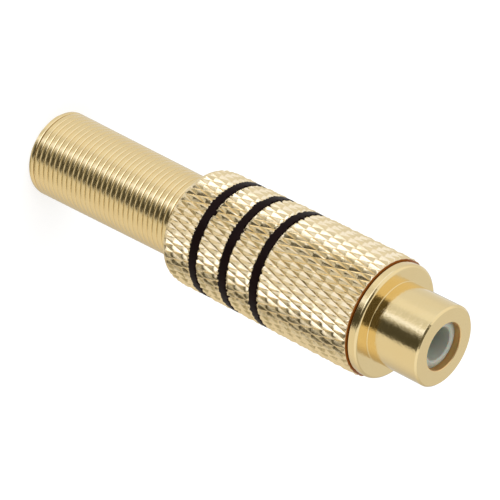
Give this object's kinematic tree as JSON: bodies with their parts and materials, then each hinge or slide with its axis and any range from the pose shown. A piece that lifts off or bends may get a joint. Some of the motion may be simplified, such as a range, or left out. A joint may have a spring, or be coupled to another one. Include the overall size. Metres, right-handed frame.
{
  "type": "rca socket",
  "caption": "Inline gold-plated phono socket: knurled barrel with black bands, round flange, round nose with a pin hole, and a close-wound spring that guides the cable.",
  "frame": {"origin": "centre of the spring's ground end, on the surface the socket stands on", "axes": "+Z along the axis from the cable end to the mouth, +X towards the ground tag's strip"},
  "size_m": [0.0124, 0.0124, 0.0515],
  "materials": {
    "turned_gold": "turned, gold plated, polished",
    "knurled_gold": "diamond knurled, gold plated",
    "gold_wire": "drawn wire, gold plated",
    "contact_gold": "turned, gold plated",
    "tag_gold": "stamped sheet, gold plated",
    "black_enamel": "gloss enamel",
    "milky_insulator": "moulded, milky, satin",
    "clear_liner": "moulded, milky"
  },
  "bodies": {
    "spring": {"strain_relief_spring": "gold_wire"},
    "barrel": {"barrel": "knurled_gold", "ring_band_1": "black_enamel", "ring_band_2": "black_enamel", "ring_band_3": "black_enamel"},
    "liner": {"insulating_sleeve": "clear_liner"},
    "socket": {"socket_body": "turned_gold", "front_insulator": "milky_insulator", "centre_contact": "contact_gold", "rear_insulator": "milky_insulator", "ground_tag": "tag_gold"}
  },
  "joints": [
    {"name": "spring_swivel", "type": "hinge", "parent": "spring", "child": "barrel", "pos_m": [0, 0, 0.0222], "axis": [0, 0, 1], "continuous": true},
    {"name": "socket_slide", "type": "slide", "parent": "barrel", "child": "liner", "axis": [0, 0, 1], "range_m": [0, 0.006]},
    {"name": "socket_turn", "type": "hinge", "parent": "liner", "child": "socket", "pos_m": [0, 0, 0.0386], "axis": [0, 0, 1], "range_deg": [0, 2880]}
  ],
  "couplings": [
    {"joint": "socket_turn", "follows": "socket_slide", "rad_per_m": 8377.6}
  ]
}
